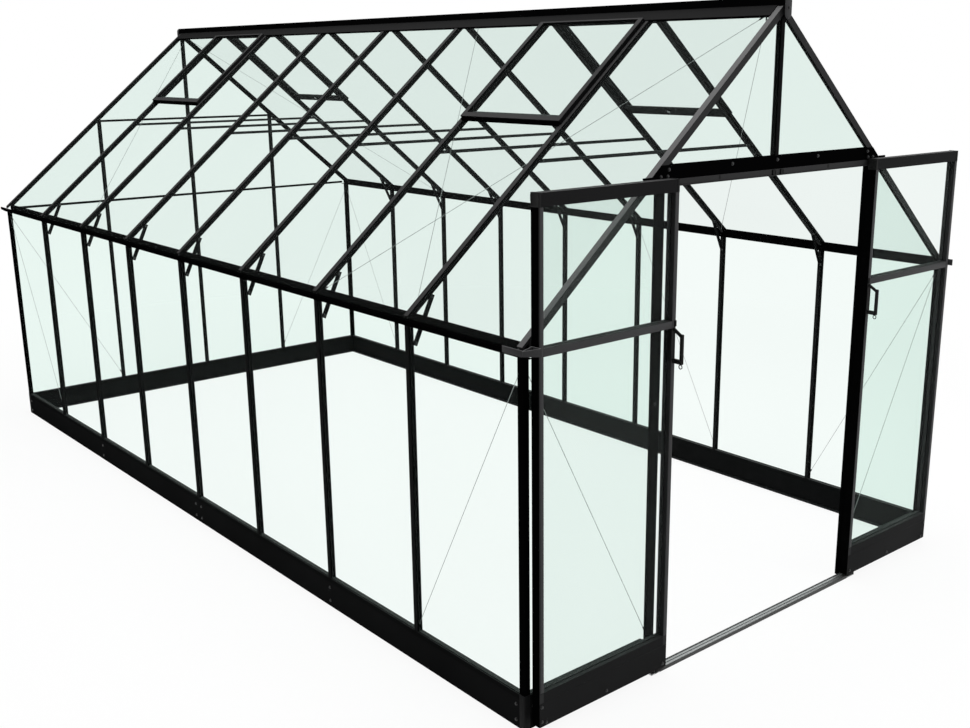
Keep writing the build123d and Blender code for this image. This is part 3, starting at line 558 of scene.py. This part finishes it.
def doorTrimPieces():
    look = doorTrim
    outer, inner, front, proud = look["outer"], look["inner"], look["front"], look["proud"]
    trim = railSleeves(look, proud)
    low, high = look["guide"]
    guide = addBlock("guide", (low, front - proud, look["guideLow"]),
                     (high, front - proud + look["guideThick"], look["guideHigh"]))
    shift(guide, lambda p: p.x > high - closeBy and p.z < look["guideLow"] + closeBy,
          (0, 0, look["guideRise"]))
    trim.append(roundEdges(guide, look["trimEdge"]))
    beads = []
    for level in look["beads"]:
        bead = addBlock("bead", (outer + look["beadInset"], front - proud, level - look["beadHigh"] / 2),
                        (inner - look["beadInset"], front + look["beadBed"], level + look["beadHigh"] / 2))
        beads.append(roundEdges(bead, look["beadEdge"]))
    inset = look["railInset"]
    strips = [(outer + inset, inner - inset, look["faceLow"], look["faceHigh"])]
    strips += [(start, end, look["stileLow"], look["stileHigh"]) for start, end in look["stileFaces"]]
    faces = []
    for start, end, low, high in strips:
        face = addBlock("face", (start, front - proud, low), (end, front, high))
        sink(face, lambda c, n: n.y < -squarely, look["faceRim"], (0, look["faceRise"], 0))
        faces.append(roundEdges(face, look["faceEdge"]))
    edges = []
    for near, far in ((outer - look["edge"], outer), (inner, inner + look["edge"])):
        edge = addBlock("edge", (near, front, look["edgeLow"]), (far, look["back"], look["stileHigh"]))
        edges.append(roundEdges(edge, look["edgeRound"], 1))
    return (joinAs("leftDoorEnds", trim), joinAs("leftDoorBeads", beads), joinAs("leftDoorFaces", faces),
            joinAs("leftDoorEdges", edges))


# the face strips carry painted light and the edge strips painted shade
for piece, look in zip(doorTrimPieces(), ("handleBlack", "doorBlack", "greyPaintedLight", "blackPaintedShade")):
    twin = mirrored(piece, piece.name.replace("left", "right"), overX)
    dress(piece, "left_door", look)
    dress(twin, "right_door", look)
print("door trim done")

# Header fittings: end brackets and gussets, door stops and flat screw heads on the track
header = {"face": -2.5135, "bracket": (0.684, 0.729), "bracketLow": 1.8568, "bracketHigh": 1.8675,
          "bracketThick": 0.005, "bracketRise": 0.003, "bracketEdge": 0.0008, "gusset": (0.588, 0.695),
          "gussetLow": 1.8556, "gussetHigh": 1.9045, "gussetThick": 0.0018, "gussetCut": -0.056,
          "gussetEdge": 0.0005, "shelf": 1.8329, "shelfBack": -2.5157, "high": 1.853}
trackStop = {"middles": (-0.018, 0.0295), "half": 0.009, "front": -2.5204, "low": 0.0, "rim": 0.003,
             "dip": 0.001, "edge": 0.0008, "segments": 2}
trackScrew = {"middles": (-0.33, 0.33), "half": 0.004, "front": -2.5164, "low": 0.006, "rim": 0.0015,
              "dip": 0.0002, "edge": 0.00015, "segments": 1}  # flat, so that the rollers pass


def headerBracketPiece():
    look = header
    low, high = look["bracket"]
    bracket = addBlock("bracket", (low, look["face"] - look["bracketThick"], look["bracketLow"]),
                       (high, look["face"], look["bracketHigh"]))
    shift(bracket, lambda p: p.x > high - closeBy and p.z < look["bracketLow"] + closeBy,
          (0, 0, look["bracketRise"]))
    roundEdges(bracket, look["bracketEdge"])
    low, high = look["gusset"]
    gusset = addBlock("gusset", (low, look["face"] - look["gussetThick"], look["gussetLow"]),
                      (high, look["face"], look["gussetHigh"]))
    shift(gusset, lambda p: p.x > high - closeBy and p.z > look["gussetHigh"] - closeBy,
          (look["gussetCut"], 0, 0))
    roundEdges(gusset, look["gussetEdge"])
    sides = [bracket, gusset]
    return joinAs("headerBrackets", sides + [copyTo(piece, overX) for piece in sides])


def doorStopPiece():
    stops = []
    for look in (trackStop, trackScrew):
        for middle in look["middles"]:
            stop = addBlock("stop", (middle - look["half"], look["front"], header["shelf"] + look["low"]),
                            (middle + look["half"], header["shelfBack"], header["high"]))
            sink(stop, lambda c, n: n.y < -squarely, look["rim"], (0, look["dip"], 0))
            stops.append(roundEdges(stop, look["edge"], look["segments"]))
    return joinAs("doorStops", stops)


# painted shade: the brackets and gussets take the darker copy of the black coat
dress(headerBracketPiece(), "house", "blackPaintedShade")
dress(doorStopPiece(), "house", "handleBlack")

# Threshold strips: dark lips along both edges and between them a dark line, painted shade of a groove
threshold = {"half": 0.6165, "rim": 0.0006, "rise": 0.0003, "edge": 0.0003, "strips": (
    {"from": -2.5195, "to": -2.5140, "low": 0.0115, "high": 0.0145},
    # painted shade: a dark strip where a groove's shade would fall
    {"from": -2.5335, "to": -2.5310, "low": 0.0115, "high": 0.0130},
    {"from": -2.5518, "to": -2.5470, "low": 0.0000, "high": 0.0132})}


def thresholdPiece():
    look = threshold
    strips = []
    for row in look["strips"]:
        strip = addBlock("strip", (-look["half"], row["from"], row["low"]),
                         (look["half"], row["to"], row["high"]))
        sink(strip, lambda c, n: n.z > squarely, look["rim"], (0, 0, look["rise"]))
        strips.append(roundEdges(strip, look["edge"], 1))
    return joinAs("thresholdStrips", strips)


dress(thresholdPiece(), "house", "rollerBlack")

# Corner covers: angles that take the posts down over the plinth ends
cornerCover = {"outer": -1.2635, "face": -2.5135, "leg": 0.0255, "thick": 0.0014, "high": 0.134,
               "edge": 0.0005}


def cornerCoverPiece():
    look = cornerCover
    thick, leg = look["thick"], look["leg"]
    cover = addBlock("cover", (look["outer"] - thick, look["face"] - thick, 0.0),
                     (look["outer"], look["face"], look["high"]))
    pull(cover, lambda c, n: n.y > squarely, (0, leg, 0))
    pull(cover, lambda c, n: n.x > squarely and c.y < look["face"], (leg, 0, 0))
    roundEdges(cover, look["edge"])
    return joinAs("cornerCovers", [cover] + [copyTo(cover, turn) for turn in (overX, overY, overBoth)])


dress(cornerCoverPiece(), "house", "doorBlack")

# Wire ferrules: a crimped sleeve at each end of the bracing wires
wireEnds = {"wall": ((1.2531, 2.4975, 1.3065), (1.2531, 1.885, 0.1620)),
            "back": ((1.2475, 2.5031, 1.3065), (0.635, 2.5031, 0.1620)),
            "front": ((1.2475, -2.5031, 1.3065), (0.652, -2.5031, 0.1620)),
            "roof": ((0.0043, 2.4335, 2.4075), (1.2275, 1.25, 1.3685)),
            "length": 0.026, "radius": 0.0032, "sides": 8, "edge": 0.0008}


def ferrulePieces():
    look = wireEnds
    pairs = []
    for key in ("wall", "roof"):
        for turn in (Matrix.Identity(4), overX, overY, overBoth):
            pairs.append([turn @ Vector(point) for point in look[key]])
    for key in ("back", "front"):
        for turn in (Matrix.Identity(4), overX):
            pairs.append([turn @ Vector(point) for point in look[key]])
    ferrules = []
    for head, foot in pairs:
        run = (foot - head).normalized() * look["length"]
        for start, end in ((head, head + run), (foot - run, foot)):
            ferrule = addStick("ferrule", start, end, look["radius"], look["sides"])
            ferrules.append(roundEdges(ferrule, look["edge"], 1))
    return joinAs("wireFerrules", ferrules)


dress(ferrulePieces(), "house", "boltSteel")
print("fittings done")

# Bolts: a washer with a domed head, modelled once and copied
bolt = {"washer": 0.0068, "sides": 10, "head": 0.0048, "plate": 0.001, "rise": 0.0028, "dome": 0.0014}
boltAt = {  # pairs are x and z, for the ridge y and z; walls and back plinth have the plinth's two heights
    "doorFace": -2.5625, "gableFace": 2.5135, "gussetFace": -2.5153, "wallFace": 1.2635,
    "door": ((0.914, 0.043), (0.617, 0.041), (1.227, 0.045), (1.207, 0.036), (1.227, 0.101)),
    "front": ((0.26, 1.889), (0.64, 1.06), (0.64, 0.05), (0.69, 0.085), (1.225, 0.085)),
    "frontMiddle": (0.004, 1.889),
    "gusset": ((0.6, 1.889), (0.606, 1.866), (0.64, 1.866)),
    "wall": (-2.47, -1.25, -0.03, 0.03, 1.25, 2.47),
    "back": (0.03, 0.65, 1.22),
    "plinthRows": (0.028, 0.089),
    "bay": 0.625, "strutFace": -0.011, "tieFace": -0.006,
    "strut": ((1.2302, 1.268), (1.1541, 1.4272)),
    "tie": (0.612, 1.8805),
    "ridge": (2.534, 2.434),
}


def boltPiece():
    deselectAll()
    bpy.ops.mesh.primitive_cylinder_add(vertices=bolt["sides"], radius=bolt["washer"], depth=bolt["plate"],
                                        location=(0, 0, bolt["plate"] / 2))
    piece = settle("bolt")
    pick(piece, "FACE", lambda c, n: n.z > squarely)
    bpy.ops.mesh.inset(thickness=bolt["washer"] - bolt["head"])
    bpy.ops.mesh.extrude_region_move(TRANSFORM_OT_translate={"value": (0, 0, bolt["rise"])})
    bpy.ops.mesh.inset(thickness=bolt["dome"])
    bpy.ops.transform.translate(value=(0, 0, bolt["dome"] / 2))
    bpy.ops.object.mode_set(mode="OBJECT")
    return piece


def facing(place, way):
    return Matrix.Translation(place) @ Vector((0, 0, 1)).rotation_difference(Vector(way)).to_matrix().to_4x4()


bayLines = [boltAt["bay"] * step for step in range(-3, 4)]
toFront, toBack = (0, -1, 0), (0, 1, 0)
boltPlaces = {"left_door": [], "right_door": [], "house": []}
for side, body in ((-1, "left_door"), (1, "right_door")):
    for x, z in boltAt["door"]:
        boltPlaces[body].append(((side * x, boltAt["doorFace"], z), toFront))
houseBolts = boltPlaces["house"]
for x, z in boltAt["front"]:
    for side in (-1, 1):
        houseBolts.append(((side * x, -boltAt["gableFace"], z), toFront))
x, z = boltAt["frontMiddle"]
houseBolts.append(((x, -boltAt["gableFace"], z), toFront))
for side in (-1, 1):
    for x, z in boltAt["gusset"]:
        houseBolts.append(((side * x, boltAt["gussetFace"], z), toFront))
for side in (-1, 1):
    for y in boltAt["wall"]:
        for z in boltAt["plinthRows"]:
            houseBolts.append(((side * boltAt["wallFace"], y, z), (side, 0, 0)))
    for line in bayLines:
        for x, z in boltAt["strut"]:
            houseBolts.append(((side * x, line + boltAt["strutFace"], z), toFront))
        x, z = boltAt["tie"]
        houseBolts.append(((side * x, line + boltAt["tieFace"], z), toFront))
    for x in boltAt["back"]:
        for z in boltAt["plinthRows"]:
            houseBolts.append(((side * x, boltAt["gableFace"], z), toBack))
    y, z = boltAt["ridge"]
    houseBolts.append(((0, side * y, z), (0, side, 0)))
model = boltPiece()
for body, places in boltPlaces.items():
    group = joinAs(f"{body}_bolts", [copyTo(model, facing(place, way)) for place, way in places])
    dress(group, body, "boltSteel")
bpy.data.objects.remove(model)
print("bolts done:", sum(len(places) for places in boltPlaces.values()))


# Floor, world, lamps and camera: what the eye sees past the object is white, what lights it is softer
studio = {"floorSize": 60, "floorDrop": -0.001, "floorTone": (0.5, 0.5, 0.5), "floorRough": 0.9,
          "fade": {"From Min": 3.0, "From Max": 5.5, "To Min": 0.92, "To Max": 1.0}, "worldLight": 0.5}


def seenRays(tree):
    path = addNode(tree, "ShaderNodeLightPath")
    seen = addNode(tree, "ShaderNodeMath", operation="MAXIMUM")
    tree.links.new(path.outputs["Is Camera Ray"], seen.inputs[0])
    tree.links.new(path.outputs["Is Transmission Ray"], seen.inputs[1])
    seenAll = addNode(tree, "ShaderNodeMath", operation="MAXIMUM")
    tree.links.new(seen.outputs[0], seenAll.inputs[0])
    tree.links.new(path.outputs["Is Glossy Ray"], seenAll.inputs[1])
    return seenAll.outputs[0]


def floorMaterial():
    material, tree, shader = newMaterial("studioFloor")
    link = tree.links.new
    shader.inputs["Base Color"].default_value = (*studio["floorTone"], 1)
    shader.inputs["Roughness"].default_value = studio["floorRough"]
    shader.inputs["Specular IOR Level"].default_value = 0.0
    place = addNode(tree, "ShaderNodeTexCoord")
    away = addNode(tree, "ShaderNodeVectorMath", operation="LENGTH")
    link(place.outputs["Object"], away.inputs[0])
    fade = addNode(tree, "ShaderNodeMapRange")
    link(away.outputs["Value"], fade.inputs["Value"])
    for label, value in studio["fade"].items():
        fade.inputs[label].default_value = value
    share = addNode(tree, "ShaderNodeMath", operation="MULTIPLY")
    link(seenRays(tree), share.inputs[0])
    link(fade.outputs["Result"], share.inputs[1])
    white = addNode(tree, "ShaderNodeEmission")
    mix = addNode(tree, "ShaderNodeMixShader")
    link(share.outputs[0], mix.inputs["Fac"])
    link(shader.outputs["BSDF"], mix.inputs[1])
    link(white.outputs["Emission"], mix.inputs[2])
    link(mix.outputs["Shader"], tree.nodes["Material Output"].inputs["Surface"])
    return material


deselectAll()
bpy.ops.mesh.primitive_plane_add(size=studio["floorSize"], location=(0, 0, studio["floorDrop"]))
floor = bpy.context.object
floor.name = "studioFloor"
floor.data.materials.append(floorMaterial())

world = bpy.data.worlds.new("studio")
scene.world = world
world.use_nodes = True
background = world.node_tree.nodes["Background"]
background.inputs["Color"].default_value = (1, 1, 1, 1)
strength = addNode(world.node_tree, "ShaderNodeMath", operation="MULTIPLY_ADD")
world.node_tree.links.new(seenRays(world.node_tree), strength.inputs[0])
strength.inputs[1].default_value = 1 - studio["worldLight"]
strength.inputs[2].default_value = studio["worldLight"]
world.node_tree.links.new(strength.outputs[0], background.inputs["Strength"])

lampSet = [
    {"name": "overheadLamp", "at": (0.5, -0.5, 7.5), "aim": (0, 0, 0), "size": 6.0, "power": 1100},
    {"name": "frontLamp", "at": (3.0, -9.0, 3.5), "aim": (0, -2.5, 1.0), "size": 4.0, "power": 300},
]
for lamp in lampSet:
    data = bpy.data.lights.new(lamp["name"], "AREA")
    data.size = lamp["size"]
    data.energy = lamp["power"]
    light = bpy.data.objects.new(lamp["name"], data)
    light.location = lamp["at"]
    light.visible_glossy = False  # panes show the white studio, not the lamps
    light.visible_transmission = False
    run = Vector(lamp["aim"]) - Vector(lamp["at"])
    light.rotation_euler = run.to_track_quat("-Z", "Y").to_euler()
    scene.collection.objects.link(light)

view = {"at": (-3.5526, -5.1754, 2.2450), "azimuth": -41.1909, "elevation": 14.7709, "roll": -0.1968,
        "lens": 42.435, "sensor": 36, "shift": (-0.04867, -0.00021)}
cameraData = bpy.data.cameras.new("camera")
cameraData.lens = view["lens"]
cameraData.sensor_width = view["sensor"]
cameraData.shift_x, cameraData.shift_y = view["shift"]
camera = bpy.data.objects.new("camera", cameraData)
camera.location = view["at"]
azimuth, elevation = math.radians(view["azimuth"]), math.radians(view["elevation"])
back = Vector((math.sin(azimuth) * math.cos(elevation), -math.cos(azimuth) * math.cos(elevation),
               math.sin(elevation)))
turn = back.to_track_quat("Z", "Y") @ Quaternion((0, 0, 1), math.radians(view["roll"]))
camera.rotation_euler = turn.to_euler()
scene.collection.objects.link(camera)
scene.camera = camera
print("stage set")
